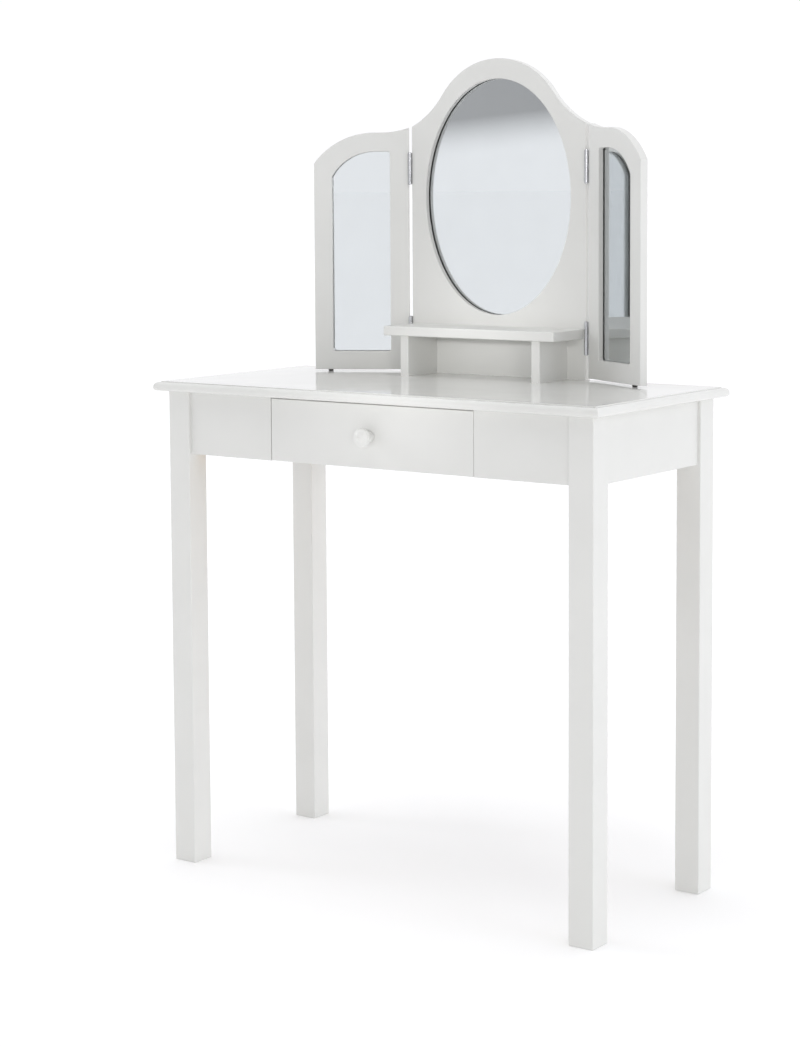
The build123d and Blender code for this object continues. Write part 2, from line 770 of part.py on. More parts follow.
# Wings: a shouldered frame, its glass and its hardboard back, folded forward on the hinges.
back_screw_lap = (rebate_lap + back_lap) / 2
wing_screw_spots = (
    (opening_inner - back_screw_lap, 60),
    (opening_inner - back_screw_lap, 190),
    (opening_inner - back_screw_lap, 320),
    (opening_outer + back_screw_lap, 60),
    (opening_outer + back_screw_lap, 180),
    (opening_outer + back_screw_lap, 295),
    (79, opening_bottom - back_screw_lap),
    (45, opening_top + back_screw_lap),
    (102, 352),
)
for side, sx in sides:
    face_plane = wing_plane(sx).offset(-pin_forward)
    rebate_plane = face_plane.offset(-glass_depth)
    board_back = face_plane.offset(-mirror_board)
    back_face = board_back.offset(-back_thickness)
    wing_screws = [
        Plane(origin=back_face.from_local_coords((sx * s, z, 0)), z_dir=back_face.z_dir * -1)
        for s, z in wing_screw_spots
    ]
    glide_origin = face_plane.from_local_coords((sx * glide_reach, wing_lift, -mirror_board / 2))
    glide_place = Plane(origin=glide_origin, z_dir=(0, 0, -1))

    with BuildSketch() as opening:
        with BuildLine():
            sill = Polyline(
                (sx * opening_inner, opening_top),
                (sx * opening_inner, opening_bottom),
                (sx * opening_outer, opening_bottom),
                (sx * opening_outer, opening_arch_end),
            )
            head = Line(sill @ 0, (sx * wing_flat_end, opening_top))
            TangentArc(head @ 1, sill @ 1, tangent=(sx, 0))
        make_face()
        square_corners = [v for v in opening.vertices() if abs(v.X) != wing_flat_end]
        fillet(square_corners, opening_round)

    with BuildSketch() as outline:
        with BuildLine():
            edges = Polyline(
                (sx * wing_edge, wing_heel),
                (sx * wing_edge, wing_lift),
                (sx * wing_outer, wing_lift),
                (sx * wing_outer, wing_shoulder),
            )
            flat = Line((sx * wing_flat_end, wing_top), (sx * wing_flat_start, wing_top))
            TangentArc(flat @ 0, edges @ 1, tangent=(sx, 0))
            TangentArc(flat @ 1, edges @ 0, tangent=(-sx, 0))
        make_face()
        shoulder = outline.vertices().sort_by_distance((sx * wing_outer, wing_shoulder, 0))[0]
        fillet(shoulder, wing_shoulder_round)

    with BuildPart() as wing_frame:
        with BuildSketch(face_plane):
            add(outline.sketch)
            add(opening.sketch, mode=Mode.SUBTRACT)
        extrude(amount=-mirror_board)
        front = wing_frame.faces().sort_by(Axis(face_plane.origin, face_plane.z_dir))[-1]
        fillet(front.edges(), mirror_arris)
        with BuildSketch(rebate_plane):
            add(opening.sketch)
            offset(amount=rebate_lap)
        extrude(amount=-mirror_board, mode=Mode.SUBTRACT)
        with Locations(*wing_screws):
            Cylinder(back_screw[1] + fit, back_screw[0], align=down, mode=Mode.SUBTRACT)
        with Locations(*hinge_screws(sx, True)):
            Cylinder(leaf_screw[1] + fit, leaf_screw[0], align=down, mode=Mode.SUBTRACT)
        with Locations(glide_place):
            Cylinder(glide_stem_radius + fit, glide_stem_length, align=down, mode=Mode.SUBTRACT)
    finish(wing_frame, f"wing_frame_{side}")

    with BuildPart() as wing_glass:
        with BuildSketch(rebate_plane):
            add(opening.sketch)
            offset(amount=glass_lap)
        extrude(amount=-glass_thickness)
    finish(wing_glass, f"wing_glass_{side}")

    with BuildPart() as wing_back:
        with BuildSketch(board_back):
            add(opening.sketch)
            offset(amount=back_lap)
        extrude(amount=-back_thickness)
        with Locations(*wing_screws):
            countersunk(back_screw[0], back_screw[1] + fit, back_screw[2] + fit, Mode.SUBTRACT)
    finish(wing_back, f"wing_back_{side}")

    with BuildPart() as wing_back_screws:
        with Locations(*wing_screws):
            countersunk(*back_screw)
    finish(wing_back_screws, f"wing_back_screws_{side}")

    # Nylon glide under the free corner of the wing, so it slides over the top.
    with BuildPart() as wing_glide:
        with Locations(glide_place):
            Cylinder(glide_radius, wing_lift - glide_clearance, align=up)
            Cylinder(glide_stem_radius, glide_stem_length, align=down)
    finish(wing_glide, f"wing_glide_{side}")

# Butt hinges, two to a wing: leaves that share their knuckles, a pin, and screws.
knuckle_pitch = hinge_length / knuckle_count
leaf_middle = wing_edge - leaf_thickness / 2
for side, sx in sides:
    for kind, turned, toward, first in (("fixed", False, -sx, 0), ("moving", True, sx, 1)):
        with BuildPart() as leaves:
            for rise in hinge_rises:
                foot_plane = hinge_foot(sx, turned, rise)
                with BuildSketch(foot_plane):
                    with Locations((toward * leaf_middle, (leaf_start + leaf_end) / 2)):
                        Rectangle(leaf_thickness, leaf_end - leaf_start)
                extrude(amount=hinge_length)
                for index in range(first, knuckle_count, 2):
                    with BuildSketch(foot_plane.offset(index * knuckle_pitch + knuckle_play / 2)):
                        Circle(knuckle_radius)
                        with Locations((toward * leaf_middle, (pin_radius + leaf_start) / 2)):
                            Rectangle(leaf_thickness, leaf_start - pin_radius)
                        Circle(pin_radius + fit, mode=Mode.SUBTRACT)
                    extrude(amount=knuckle_pitch - knuckle_play)
            with Locations(*hinge_screws(sx, turned)):
                countersunk(leaf_screw[0], leaf_screw[1] + fit, leaf_screw[2] + fit, Mode.SUBTRACT)
        finish(leaves, f"hinge_{kind}_leaves_{side}")

    with BuildPart() as hinge_pins:
        for rise in hinge_rises:
            foot_plane = hinge_foot(sx, False, rise)
            with Locations(foot_plane):
                Cylinder(pin_radius, hinge_length, align=up)
                Cylinder(pin_head_radius, pin_head_height, align=down)
            with Locations(foot_plane.offset(hinge_length)):
                Cylinder(pin_head_radius, pin_head_height, align=up)
    finish(hinge_pins, f"hinge_pins_{side}")

    with BuildPart() as wing_hinge_screws:
        with Locations(*hinge_screws(sx, True)):
            countersunk(*leaf_screw)
    finish(wing_hinge_screws, f"hinge_moving_screws_{side}")

with BuildPart() as hinge_fixed_screws:
    with Locations(*hinge_screws(-1, False), *hinge_screws(1, False)):
        countersunk(*leaf_screw)
finish(hinge_fixed_screws, "hinge_fixed_screws")
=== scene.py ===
import math

import bmesh
import bpy
import numpy as np
from mathutils import Matrix, Vector


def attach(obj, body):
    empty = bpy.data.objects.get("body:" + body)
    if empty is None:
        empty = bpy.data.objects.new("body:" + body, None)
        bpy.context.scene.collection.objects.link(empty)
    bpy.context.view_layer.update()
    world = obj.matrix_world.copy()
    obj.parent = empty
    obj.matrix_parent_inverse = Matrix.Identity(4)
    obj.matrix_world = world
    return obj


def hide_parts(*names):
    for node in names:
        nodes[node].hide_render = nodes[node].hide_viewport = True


# A white painted dressing table: one drawer, and a three-fold mirror over a small shelf.
# Metres, +X to the user's right along the front, +Y to the back, +Z up, origin on the floor.
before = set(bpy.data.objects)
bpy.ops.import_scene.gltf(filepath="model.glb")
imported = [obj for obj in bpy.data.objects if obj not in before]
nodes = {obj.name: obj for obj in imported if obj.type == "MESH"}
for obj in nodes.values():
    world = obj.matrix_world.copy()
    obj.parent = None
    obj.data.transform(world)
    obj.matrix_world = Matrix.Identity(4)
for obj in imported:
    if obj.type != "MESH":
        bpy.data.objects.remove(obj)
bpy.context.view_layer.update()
MM = 0.001


# Camera: it stands in front of the table and to its right, above the top, and looks slightly down
# through a long lens. The lens is shifted down, so that the feet come in without more tilt.
camera_place = (1.95412, -2.80167, 1.05035)
camera_azimuth = math.radians(35.774)
camera_pitch = math.radians(-4.969)
camera_roll = math.radians(-0.352)
camera = bpy.data.objects.new("camera", bpy.data.cameras.new("camera"))
bpy.context.scene.collection.objects.link(camera)
camera.data.sensor_width = 36
camera.data.lens = 78.24
camera.data.shift_y = -0.132
camera.data.clip_end = 500
camera.matrix_world = (
    Matrix.Translation(camera_place)
    @ Matrix.Rotation(camera_azimuth, 4, "Z")
    @ Matrix.Rotation(math.pi / 2 + camera_pitch, 4, "X")
    @ Matrix.Rotation(camera_roll, 4, "Z")
)
bpy.context.scene.camera = camera
bpy.context.scene.view_settings.view_transform = "Standard"


# Studio: a white sweep all round the table, brightest low down. Above it the room is bright behind
# the table and dim in front, and the mirrors show both. The lamps are far and soft, and one narrow
# soft spot in front is aimed into the niche under the shelf.
def linear(code):
    """The linear colour of an sRGB hex code."""
    parts = [int(code[i : i + 2], 16) / 255 for i in (1, 3, 5)]
    return (*[p / 12.92 if p <= 0.04045 else ((p + 0.055) / 1.055) ** 2.4 for p in parts], 1)


def add_node(tree, kind, inputs=None, stops=(), **settings):
    """Adds a shader node with its settings, its links or values, and a ramp's (place, code) stops."""
    made = tree.nodes.new(kind)
    for name, value in settings.items():
        setattr(made, name, value)
    for socket, value in (inputs or {}).items():
        if isinstance(value, bpy.types.NodeSocket):
            tree.links.new(value, made.inputs[socket])
        else:
            made.inputs[socket].default_value = value
    for index, (position, code) in enumerate(stops):
        if index == len(made.color_ramp.elements):
            made.color_ramp.elements.new(1)
        made.color_ramp.elements[index].position = position
        made.color_ramp.elements[index].color = linear(code)
    return made


room_back = (-0.5, 0.866, 0)
dim_side = -0.95
bright_side = 0.45
dim_light = 0.29
bright_light = 1.03
sweep_lean = -0.12
sweep_full = 0.080
sweep_gone = 0.112
sweep_light = 1.13
world = bpy.data.worlds.new("studio")
bpy.context.scene.world = world
world.use_nodes = True
tree = world.node_tree
direction = add_node(tree, "ShaderNodeTexCoord").outputs["Generated"]
split = add_node(tree, "ShaderNodeSeparateXYZ", {"Vector": direction})
toward_back = add_node(
    tree,
    "ShaderNodeVectorMath",
    {0: direction, 1: room_back},
    operation="DOT_PRODUCT",
)
room = add_node(
    tree,
    "ShaderNodeMapRange",
    {
        "Value": toward_back.outputs["Value"],
        "From Min": dim_side,
        "From Max": bright_side,
        "To Min": dim_light,
        "To Max": bright_light,
    },
    interpolation_type="SMOOTHSTEP",
)
slope = add_node(
    tree,
    "ShaderNodeMath",
    {0: split.outputs["X"], 1: sweep_lean, 2: split.outputs["Z"]},
    operation="MULTIPLY_ADD",
)
sweep = add_node(
    tree,
    "ShaderNodeMapRange",
    {
        "Value": slope.outputs["Value"],
        "From Min": sweep_full,
        "From Max": sweep_gone,
        "To Min": sweep_light,
        "To Max": 0,
    },
    interpolation_type="SMOOTHSTEP",
)
strength = add_node(
    tree,
    "ShaderNodeMath",
    {0: room.outputs["Result"], 1: sweep.outputs["Result"]},
    operation="MAXIMUM",
)
background = tree.nodes["Background"]
background.inputs["Color"].default_value = linear("#FDFDFF")
tree.links.new(strength.outputs["Value"], background.inputs["Strength"])


def soft_lamp(name, azimuth, elevation, spread, strength, code):
    """A far soft lamp, in degrees. Azimuth 0 is straight in front of the table, 90 on its right."""
    lamp = bpy.data.objects.new(name, bpy.data.lights.new(name, "SUN"))
    bpy.context.scene.collection.objects.link(lamp)
    lamp.data.angle = math.radians(spread)
    lamp.data.energy = strength
    lamp.data.color = linear(code)[:3]
    swing = Matrix.Rotation(math.radians(azimuth), 3, "Z")
    tilt = Matrix.Rotation(math.radians(90 - elevation), 3, "X")
    lamp.rotation_euler = (swing @ tilt).to_euler()


soft_lamp("front_lamp", 47, 6, 12, 0.32, "#FFFEFC")
soft_lamp("side_lamp", 92, 22, 40, 0.45, "#EFF4FF")
soft_lamp("left_lamp", -72, 18, 16, 0.3, "#F6F9FF")
soft_lamp("top_lamp", 20, 76, 50, 0.7, "#FFFFFF")
shelf_lamp_place = (0.52, -2.82, 1.26)
shelf_lamp_aim = (0, 0.1, 0.8)
shelf_lamp = bpy.data.objects.new("shelf_lamp", bpy.data.lights.new("shelf_lamp", "SPOT"))
bpy.context.scene.collection.objects.link(shelf_lamp)
shelf_lamp.location = shelf_lamp_place
shelf_lamp_ray = Vector(shelf_lamp_aim) - shelf_lamp.location
shelf_lamp.rotation_euler = shelf_lamp_ray.to_track_quat("-Z", "Y").to_euler()
shelf_lamp.data.energy = 200
shelf_lamp.data.spot_size = math.radians(5.8)
shelf_lamp.data.spot_blend = 1
shelf_lamp.data.shadow_soft_size = 0.15


# Floor: a plain pale floor in matt paint, wide enough to be seen to its horizon. The paint is a
# little cloudy, and glows faintly so that the floor meets the white sweep with hardly a line.
def start_material(name):
    """A new material, with its node tree, its shader, and a socket of Object coordinates."""
    made = bpy.data.materials.new(name)
    made.use_nodes = True
    tree = made.node_tree
    place = add_node(tree, "ShaderNodeTexCoord").outputs["Object"]
    return made, tree, tree.nodes["Principled BSDF"], place


floor_reach = 400
floor_glow = 0.1
floor_paint, tree, shader, place = start_material("matt_floor_paint")
mottle = add_node(tree, "ShaderNodeTexNoise", {"Vector": place, "Scale": 1.5, "Detail": 2})
pale = ((0.3, "#F6F6F6"), (0.7, "#F9F9F9"))
tone = add_node(tree, "ShaderNodeValToRGB", {"Fac": mottle.outputs["Fac"]}, stops=pale)
tree.links.new(tone.outputs["Color"], shader.inputs["Base Color"])
shader.inputs["Roughness"].default_value = 0.9
shader.inputs["Specular IOR Level"].default_value = 0.2
shader.inputs["Emission Color"].default_value = linear("#FFFFFF")
shader.inputs["Emission Strength"].default_value = floor_glow
bm = bmesh.new()
bmesh.ops.create_grid(bm, x_segments=1, y_segments=1, size=floor_reach)
floor_mesh = bpy.data.meshes.new("floor")
bm.to_mesh(floor_mesh)
bm.free()
floor = bpy.data.objects.new("floor", floor_mesh)
bpy.context.scene.collection.objects.link(floor)
floor_mesh.materials.append(floor_paint)


# Table top: a 15 mm fibreboard slab, its edge moulded to a step above a round nose, sprayed and
# rubbed to a high gloss. It lies on the frame and is screwed to it from below.
def paint(name, roughness, along=None):
    """White lacquer, sprayed on: a faintly cloudy white with the fine ripple that a spray leaves.
    Over solid wood the ridges of the grain show through, and run along the axis `along`."""
    cloud_size = 90 * MM
    unevenness = 0.15
    ripple_size = 2.5 * MM
    ripple_depth = 0.06 * MM
    ridge_width = 1.6 * MM
    ridge_depth = 0.05 * MM
    ridge_stretch = 0.02
    made, tree, shader, place = start_material(name)
    cloud = add_node(tree, "ShaderNodeTexNoise", {"Vector": place, "Scale": 1 / cloud_size, "Detail": 3})
    white = ((0.3, "#DFDFDC"), (0.7, "#E2E2DF"))
    tone = add_node(tree, "ShaderNodeValToRGB", {"Fac": cloud.outputs["Fac"]}, stops=white)
    tree.links.new(tone.outputs["Color"], shader.inputs["Base Color"])
    sheen = add_node(
        tree,
        "ShaderNodeMapRange",
        {
            "Value": cloud.outputs["Fac"],
            "To Min": roughness * (1 - unevenness),
            "To Max": roughness * (1 + unevenness),
        },
    )
    tree.links.new(sheen.outputs["Result"], shader.inputs["Roughness"])
    ripple = add_node(tree, "ShaderNodeTexNoise", {"Vector": place, "Scale": 1 / ripple_size, "Detail": 2})
    height = add_node(
        tree,
        "ShaderNodeBump",
        {"Height": ripple.outputs["Fac"], "Strength": 0.12, "Distance": ripple_depth},
    )
    if along:
        stretch = [ridge_stretch if axis == along else 1 for axis in "XYZ"]
        fibres = add_node(tree, "ShaderNodeMapping", {"Vector": place, "Scale": stretch})
        grain = add_node(
            tree,
            "ShaderNodeTexNoise",
            {"Vector": fibres.outputs["Vector"], "Scale": 1 / ridge_width, "Detail": 3},
        )
        height = add_node(
            tree,
            "ShaderNodeBump",
            {
                "Height": grain.outputs["Fac"],
                "Strength": 0.15,
                "Distance": ridge_depth,
                "Normal": height.outputs["Normal"],
            },
        )
    tree.links.new(height.outputs["Normal"], shader.inputs["Normal"])
    return made


def coat(material, *names):
    """Gives CAD nodes a material in place of their plain one."""
    for name in names:
        for slot in nodes[name].material_slots:
            slot.material = material


top_paint = paint("gloss_lacquer_fibreboard", 0.07)
coat(top_paint, "tabletop")


# Legs: four square posts of solid wood, their arrises eased, sprayed satin white. The grain runs
# up the post, and only its faint ridges show through the paint.
leg_paint = paint("satin_lacquer_post", 0.34, "Z")
coat(leg_paint, "leg_front_left", "leg_front_right", "leg_back_left", "leg_back_right")


# Aprons and front panels: 15 mm solid boards between the legs, set back 5 mm from their faces and
# dowelled into them. The front is three boards, and the middle one is the drawer's front.
apron_paint = paint("satin_lacquer_long_board", 0.34, "X")
side_paint = paint("satin_lacquer_side_board", 0.34, "Y")
coat(apron_paint, "front_panel_left", "front_panel_right", "back_apron", "drawer_front")
coat(side_paint, "side_apron_left", "side_apron_right")


# Knob: a mushroom turned from solid beech, and sprayed white like the drawer front. A machine
# screw through the front holds it.
knob_paint = paint("satin_lacquer_turned_beech", 0.3)
coat(knob_paint, "knob")


# Mirror frames and shelf: fibreboard cut to shape, 12 mm in the frames and 15 mm in the shelf, its
# edges rounded over and sprayed satin white. The middle frame stands on the top, held by screws
# from below, and the shelf and its brackets are screwed to it from behind.
board_paint = paint("satin_lacquer_fibreboard", 0.34)
coat(board_paint, "mirror_frame", "wing_frame_left", "wing_frame_right")
coat(board_paint, "shelf_board", "shelf_bracket_left", "shelf_bracket_right")


# Mirror glasses: 4 mm float glass, silvered behind, with its rim ground to a small arris. Each
# lies in the rebate of its frame. The front is clear and nearly colourless, the silver behind it
# gives the reflection, and the cut rim shows the green of the glass.
def copy_node(node):
    """A CAD node's mesh as a bmesh of whole faces, its doubled points merged."""
    bm = bmesh.new()
    bm.from_mesh(nodes[node].data)
    bmesh.ops.remove_doubles(bm, verts=bm.verts, dist=0.001 * MM)
    bmesh.ops.dissolve_limit(bm, angle_limit=math.radians(1), verts=bm.verts, edges=bm.edges)
    return bm


def save_piece(name, bm, materials, body, replaced):
    """Writes a bmesh as a piece that rides on a body and stands for CAD nodes."""
    crease = math.radians(35)
    bmesh.ops.recalc_face_normals(bm, faces=bm.faces)
    for face in bm.faces:
        face.smooth = True
    for edge in bm.edges:
        edge.smooth = len(edge.link_faces) == 2 and edge.calc_face_angle(0) < crease
    mesh = bpy.data.meshes.new(name)
    bm.to_mesh(mesh)
    bm.free()
    for material in materials:
        mesh.materials.append(material)
    made = bpy.data.objects.new(name, mesh)
    bpy.context.scene.collection.objects.link(made)
    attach(made, body)
    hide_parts(*replaced)


# Clear float glass, with a film of dust too thin to see except as a slightly uneven gloss.
haze_size = 40 * MM
film_roughness = 0.012
clear_glass, tree, shader, place = start_material("clear_float_glass")
shader.inputs["Base Color"].default_value = linear("#F9FBFC")
shader.inputs["Transmission Weight"].default_value = 1
shader.inputs["IOR"].default_value = 1.5
haze = add_node(tree, "ShaderNodeTexNoise", {"Vector": place, "Scale": 1 / haze_size, "Detail": 4})
film = add_node(
    tree,
    "ShaderNodeMapRange",
    {"Value": haze.outputs["Fac"], "To Min": 0, "To Max": film_roughness},
)
tree.links.new(film.outputs["Result"], shader.inputs["Roughness"])

# Silver, laid on the glass chemically: a nearly perfect mirror, hardly uneven in tone.
silver_cloud_size = 60 * MM
silver, tree, shader, place = start_material("silver_backing")
cloud = add_node(tree, "ShaderNodeTexNoise", {"Vector": place, "Scale": 1 / silver_cloud_size, "Detail": 2})
tone = add_node(
    tree,
    "ShaderNodeValToRGB",
    {"Fac": cloud.outputs["Fac"]},
    stops=((0.3, "#DCDEDF"), (0.7, "#DEE0E1")),
)
tree.links.new(tone.outputs["Color"], shader.inputs["Base Color"])
shader.inputs["Metallic"].default_value = 1
shader.inputs["Roughness"].default_value = 0.004

# The rim, ground with a stone: dull, speckled and dark green.
grit_size = 0.8 * MM
ground_rim, tree, shader, place = start_material("ground_glass_rim")
grit = add_node(tree, "ShaderNodeTexNoise", {"Vector": place, "Scale": 1 / grit_size, "Detail": 2})
tone = add_node(
    tree,
    "ShaderNodeValToRGB",
    {"Fac": grit.outputs["Fac"]},
    stops=((0.3, "#3E4B46"), (0.7, "#55645E")),
)
tree.links.new(tone.outputs["Color"], shader.inputs["Base Color"])
shader.inputs["Roughness"].default_value = 0.45

# The silvered face is drawn a little in front of the hardboard, so that the two don't share a plane.
glass_arris = 0.6 * MM
backing_gap = 0.1 * MM
square_to_back = 0.99
edge_on = -0.1
for node, body in (
    ("mirror_glass", "table"),
    ("wing_glass_left", "left_wing"),
    ("wing_glass_right", "right_wing"),
):
    bm = copy_node(node)
    broad = sorted(bm.faces, key=lambda face: face.calc_area())[-2:]
    backward = max((face.normal.copy() for face in broad), key=lambda normal: normal.y)
    rims = list({edge for face in broad for edge in face.edges})
    bmesh.ops.bevel(
        bm,
        geom=rims,
        offset=glass_arris,
        segments=1,
        profile=0.5,
        affect="EDGES",
        material=-1,
        clamp_overlap=True,
    )
    silvered = [face for face in bm.faces if face.normal.dot(backward) > square_to_back]
    corners = list({vert for face in silvered for vert in face.verts})
    bmesh.ops.translate(bm, vec=-backing_gap * backward, verts=corners)
    for face in bm.faces:
        facing = face.normal.dot(backward)
        face.material_index = 1 if facing > square_to_back else 2 if facing > edge_on else 0
    save_piece(node + "_plate", bm, (clear_glass, silver, ground_rim), body, (node,))


# Hardboard: brown wood fibre pressed into a 3 mm sheet, mottled, with a fine felted surface. It is
# screwed on behind the glasses, and lies in the drawer's grooves as its bottom.
first_colour = 6
second_colour = 7
mixed_colour = 2
fibre_size = 1.4 * MM
fibre_depth = 0.1 * MM
patch_size = 45 * MM
hardboard, tree, shader, place = start_material("pressed_hardboard")
fibre = add_node(tree, "ShaderNodeTexNoise", {"Vector": place, "Scale": 1 / fibre_size, "Detail": 5})
patch = add_node(tree, "ShaderNodeTexNoise", {"Vector": place, "Scale": 1 / patch_size, "Detail": 2})
tone = add_node(
    tree,
    "ShaderNodeValToRGB",
    {"Fac": fibre.outputs["Fac"]},
    stops=((0.3, "#6B4930"), (0.7, "#8D6644")),
)
shade = add_node(
    tree,
    "ShaderNodeValToRGB",
    {"Fac": patch.outputs["Fac"]},
    stops=((0.3, "#E4DDD6"), (0.7, "#FFFFFF")),
)
mixed = add_node(
    tree,
    "ShaderNodeMix",
    {"Factor": 1, first_colour: tone.outputs["Color"], second_colour: shade.outputs["Color"]},
    data_type="RGBA",
    blend_type="MULTIPLY",
)
tree.links.new(mixed.outputs[mixed_colour], shader.inputs["Base Color"])
shader.inputs["Roughness"].default_value = 0.55
height = add_node(
    tree,
    "ShaderNodeBump",
    {"Height": fibre.outputs["Fac"], "Strength": 0.25, "Distance": fibre_depth},
)
tree.links.new(height.outputs["Normal"], shader.inputs["Normal"])
coat(hardboard, "mirror_back", "wing_back_left", "wing_back_right", "drawer_bottom")


# Butt hinges: two 1.2 mm leaves of nickel-plated brass to each, with rolled knuckles on a plain pin
# with round heads. The plating is bright, with faint upright lines from the drawing of the strip.
# Small countersunk screws, plated like the leaves, hold them.
line_width = 0.5 * MM
line_stretch = 0.05
nickel, tree, shader, place = start_material("bright_nickel_plate")
shader.inputs["Metallic"].default_value = 1
lines = add_node(tree, "ShaderNodeMapping", {"Vector": place, "Scale": (1, 1, line_stretch)})
drawn = add_node(
    tree,
    "ShaderNodeTexNoise",
    {"Vector": lines.outputs["Vector"], "Scale": 1 / line_width, "Detail": 3},
)
tone = add_node(
    tree,
    "ShaderNodeValToRGB",
    {"Fac": drawn.outputs["Fac"]},
    stops=((0.3, "#A9AAAD"), (0.7, "#C8C9CC")),
)
tree.links.new(tone.outputs["Color"], shader.inputs["Base Color"])
dull = add_node(
    tree,
    "ShaderNodeMapRange",
    {"Value": drawn.outputs["Fac"], "To Min": 0.06, "To Max": 0.14},
)
tree.links.new(dull.outputs["Result"], shader.inputs["Roughness"])


def solids_of(node):
    """The separate solids of a CAD node, each as an array of its points."""
    bm = copy_node(node)
    left = set(bm.verts)
    found = []
    while left:
        reached = [left.pop()]
        for vert in reached:
            for edge in vert.link_edges:
                other = edge.other_vert(vert)
                if other in left:
                    left.remove(other)
                    reached.append(other)
        found.append(np.array([vert.co for vert in reached]))
    bm.free()
    return found


def screw_frame(points):
    """Where a screw's head is, which way it points out, its length, and its shank and head radii."""
    middle = (points.min(0) + points.max(0)) / 2
    spread = points - points.mean(0)
    axis = np.linalg.svd(spread, full_matrices=False)[2][0]
    along = (points - middle) @ axis
    away = np.linalg.norm((points - middle) - np.outer(along, axis), axis=1)
    near = 0.1 * MM
    ends = [away[np.abs(along - end) < near].max() for end in (along.min(), along.max())]
    if ends[0] > ends[1]:
        axis = -axis
        ends.reverse()
    length = along.max() - along.min()
    head = Vector(middle + axis * length / 2)
    return head, Vector(axis), length, ends[0], ends[1]


def add_screw(bm, head, outward, length, shank, wide):
    """One countersunk screw with a cross recess, made at the origin and then put in its place."""
    arm = 0.55 * wide
    half_width = 0.13 * wide
    recess = 0.4 * wide
    recess_taper = 0.7
    slope = wide - shank
    tip = 2 * shank
    tip_taper = 0.1
    # The recess: a cross of five squares, its arms drawn to size and pushed in with a taper.
    new = bmesh.new()
    bmesh.ops.create_grid(new, x_segments=3, y_segments=3, size=1)
    corners = [f for f in new.faces if abs(f.calc_center_median().x * f.calc_center_median().y) > 0.1]
    bmesh.ops.delete(new, geom=corners, context="FACES")
    for vert in new.verts:
        vert.co = [math.copysign(arm if abs(c) > 0.5 else half_width, c) for c in vert.co[:2]] + [0]
    boundary = [edge for edge in new.edges if edge.is_boundary]
    bmesh.ops.subdivide_edges(new, edges=boundary, cuts=1)
    pushed = bmesh.ops.extrude_face_region(new, geom=list(new.faces))
    bottom = [v for v in pushed["geom"] if isinstance(v, bmesh.types.BMVert)]
    bmesh.ops.scale(new, vec=(recess_taper, recess_taper, 1), verts=bottom)
    bmesh.ops.translate(new, vec=(0, 0, -recess), verts=bottom)
    # The countersink round it, joined to its mouth, and then the shank and the point.
    mouth = [edge for edge in new.edges if edge.is_boundary]
    place = Matrix.Translation((0, 0, -slope / 2))
    bmesh.ops.create_cone(new, segments=24, radius1=shank, radius2=wide, depth=slope, matrix=place)
    rims = [edge for edge in new.edges if edge.is_boundary and edge not in mouth]
    rim = [edge for edge in rims if edge.verts[0].co.z > -slope / 2]
    end = [edge for edge in rims if edge not in rim]
    bmesh.ops.bridge_loops(new, edges=rim + mouth)
    for drop, size in ((length - slope - tip, 1), (tip, tip_taper)):
        made = bmesh.ops.extrude_edge_only(new, edges=end)["geom"]
        verts = [v for v in made if isinstance(v, bmesh.types.BMVert)]
        bmesh.ops.scale(new, vec=(size, size, 1), verts=verts)
        bmesh.ops.translate(new, vec=(0, 0, -drop), verts=verts)
        end = [e for e in made if isinstance(e, bmesh.types.BMEdge)]
    bmesh.ops.holes_fill(new, edges=end, sides=0)
    bmesh.ops.recalc_face_normals(new, faces=new.faces)
    turn = outward.to_track_quat("Z", "Y").to_matrix().to_4x4()
    new.transform(Matrix.Translation(head) @ turn)
    mesh = bpy.data.meshes.new("screw")
    new.to_mesh(mesh)
    new.free()
    bm.from_mesh(mesh)
    bpy.data.meshes.remove(mesh)


def save_screws(node, material, body):
    """Replaces a CAD node of plain screws with recessed ones in the same holes."""
    bm = bmesh.new()
    for points in solids_of(node):
        add_screw(bm, *screw_frame(points))
    save_piece(node + "_recessed", bm, (material,), body, (node,))


for node, body in (
    ("hinge_fixed_screws", "table"),
    ("hinge_moving_screws_left", "left_wing"),
    ("hinge_moving_screws_right", "right_wing"),
):
    save_screws(node, nickel, body)
coat(nickel, "hinge_fixed_leaves_left", "hinge_moving_leaves_left", "hinge_pins_left")
coat(nickel, "hinge_fixed_leaves_right", "hinge_moving_leaves_right", "hinge_pins_right")


# Steel fasteners out of sight: wood screws, hanger bolts and their nuts, corner plates, top clips
# and the knob's machine screw. All are zinc plated, a cool grey with a faint crystal pattern.
flake_size = 3 * MM
stain_size = 5 * MM
zinc, tree, shader, place = start_material("bright_zinc_plate")
shader.inputs["Metallic"].default_value = 1
flakes = add_node(tree, "ShaderNodeTexVoronoi", {"Vector": place, "Scale": 1 / flake_size})
tone = add_node(
    tree,
    "ShaderNodeValToRGB",
    {"Fac": flakes.outputs["Distance"]},
    stops=((0.1, "#A9ADB2"), (0.8, "#C3C7CB")),
)
tree.links.new(tone.outputs["Color"], shader.inputs["Base Color"])
stain = add_node(tree, "ShaderNodeTexNoise", {"Vector": place, "Scale": 1 / stain_size, "Detail": 3})
dull = add_node(
    tree,
    "ShaderNodeMapRange",
    {"Value": stain.outputs["Fac"], "To Min": 0.28, "To Max": 0.46},
)
tree.links.new(dull.outputs["Result"], shader.inputs["Roughness"])
for node, body in (
    ("bracket_screws", "table"),
    ("clip_screws", "table"),
    ("rail_screws", "table"),
    ("mirror_screws", "table"),
    ("shelf_screws", "table"),
    ("mirror_back_screws", "table"),
    ("wing_back_screws_left", "left_wing"),
    ("wing_back_screws_right", "right_wing"),
):
    save_screws(node, zinc, body)
coat(zinc, "corner_brackets", "top_clips", "hanger_bolts", "hanger_nuts", "knob_screw")


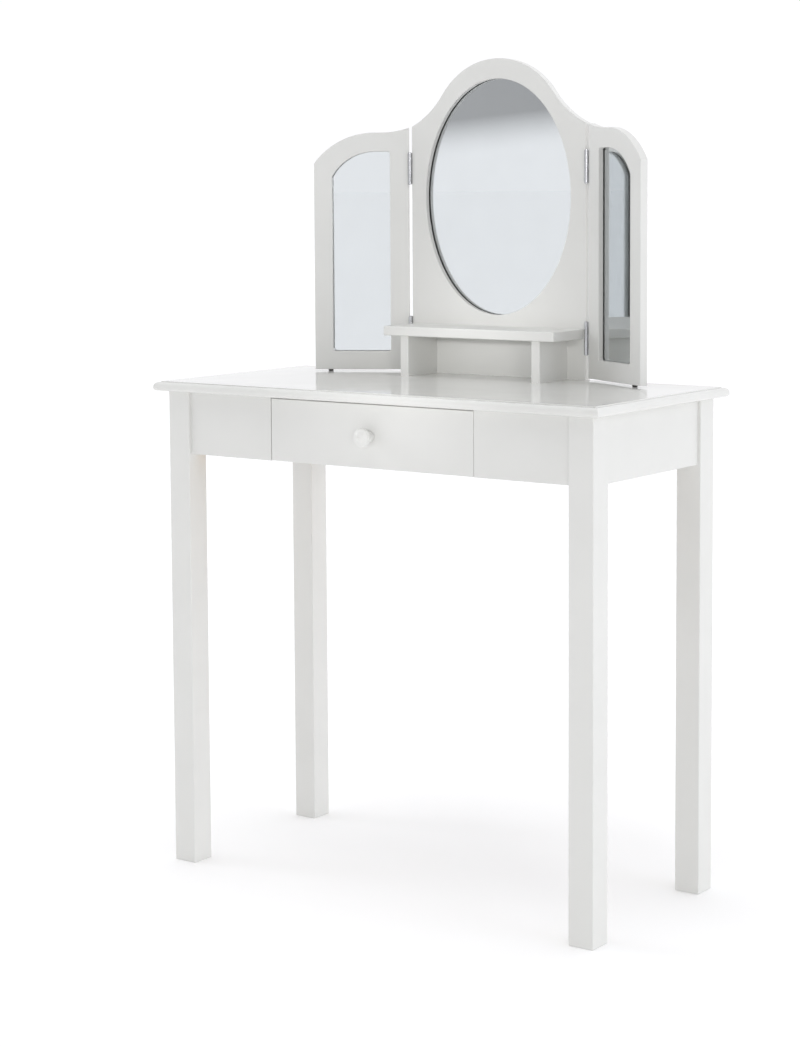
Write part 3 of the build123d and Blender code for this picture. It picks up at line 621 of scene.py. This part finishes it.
# Drawer box, runners and rails: planed wood under a thin clear lacquer, the box and the rails from
# 12 mm boards. Growth rings run as long bands down each board, with fine fibres between them.
def bare_wood(name, along, early, late, ring):
    """Clear lacquered wood whose grain runs along an axis, with rings that far apart."""
    bend_size = 60 * MM
    fibre_width = 0.7 * MM
    fibre_depth = 0.08 * MM
    grain_stretch = 0.06
    made, tree, shader, place = start_material(name)
    stretch = [grain_stretch if axis == along else 1 for axis in "XYZ"]
    board = add_node(tree, "ShaderNodeMapping", {"Vector": place, "Scale": stretch})
    bent = add_node(
        tree,
        "ShaderNodeTexNoise",
        {"Vector": board.outputs["Vector"], "Scale": 1 / bend_size, "Detail": 2},
    )
    rings = add_node(
        tree,
        "ShaderNodeMath",
        {0: bent.outputs["Fac"], 1: bend_size / ring * 2},
        operation="MULTIPLY",
    )
    phase = add_node(tree, "ShaderNodeMath", {0: rings.outputs["Value"]}, operation="FRACT")
    tone = add_node(
        tree,
        "ShaderNodeValToRGB",
        {"Fac": phase.outputs["Value"]},
        stops=((0, early), (0.75, late), (1, early)),
    )
    fibres = add_node(
        tree,
        "ShaderNodeTexNoise",
        {"Vector": board.outputs["Vector"], "Scale": 1 / fibre_width, "Detail": 3},
    )
    streak = add_node(
        tree,
        "ShaderNodeValToRGB",
        {"Fac": fibres.outputs["Fac"]},
        stops=((0.3, "#D8D0C4"), (0.7, "#FFFFFF")),
    )
    mixed = add_node(
        tree,
        "ShaderNodeMix",
        {"Factor": 0.6, first_colour: tone.outputs["Color"], second_colour: streak.outputs["Color"]},
        data_type="RGBA",
        blend_type="MULTIPLY",
    )
    tree.links.new(mixed.outputs[mixed_colour], shader.inputs["Base Color"])
    worn = add_node(
        tree,
        "ShaderNodeMapRange",
        {"Value": fibres.outputs["Fac"], "To Min": 0.42, "To Max": 0.6},
    )
    tree.links.new(worn.outputs["Result"], shader.inputs["Roughness"])
    height = add_node(
        tree,
        "ShaderNodeBump",
        {"Height": fibres.outputs["Fac"], "Strength": 0.3, "Distance": fibre_depth},
    )
    tree.links.new(height.outputs["Normal"], shader.inputs["Normal"])
    return made


pine_early = "#E2C392"
pine_late = "#C99C60"
pine_ring = 9 * MM
pine_lengthwise = bare_wood("planed_pine_lengthwise", "Y", pine_early, pine_late, pine_ring)
pine_crosswise = bare_wood("planed_pine_crosswise", "X", pine_early, pine_late, pine_ring)
coat(pine_lengthwise, "drawer_side_left", "drawer_side_right")
coat(pine_lengthwise, "drawer_runner_left", "drawer_runner_right")
coat(pine_crosswise, "drawer_back", "drawer_stop", "front_rail_lower", "front_rail_upper")


# Dowels: turned pins of beech, 8 mm thick in the frame and 6 mm in the drawer, glued into the
# corner joints. The wood is a warmer brown than the pine, and its rings lie closer.
beech_ring = 3 * MM
beech = bare_wood("turned_beech", "X", "#D3A878", "#C0905E", beech_ring)
coat(beech, "dowels", "drawer_dowels")


# Nylon glides: a small dark moulded button with a stem, pressed into the foot of each wing. It
# stands just clear of the table top, and keeps the free corner of the wing off it.
cloud_size = 2 * MM
nylon, tree, shader, place = start_material("moulded_nylon")
cloud = add_node(tree, "ShaderNodeTexNoise", {"Vector": place, "Scale": 1 / cloud_size, "Detail": 3})
tone = add_node(
    tree,
    "ShaderNodeValToRGB",
    {"Fac": cloud.outputs["Fac"]},
    stops=((0.3, "#3A3836"), (0.7, "#4A4846")),
)
tree.links.new(tone.outputs["Color"], shader.inputs["Base Color"])
shader.inputs["Roughness"].default_value = 0.5
coat(nylon, "wing_glide_left", "wing_glide_right")
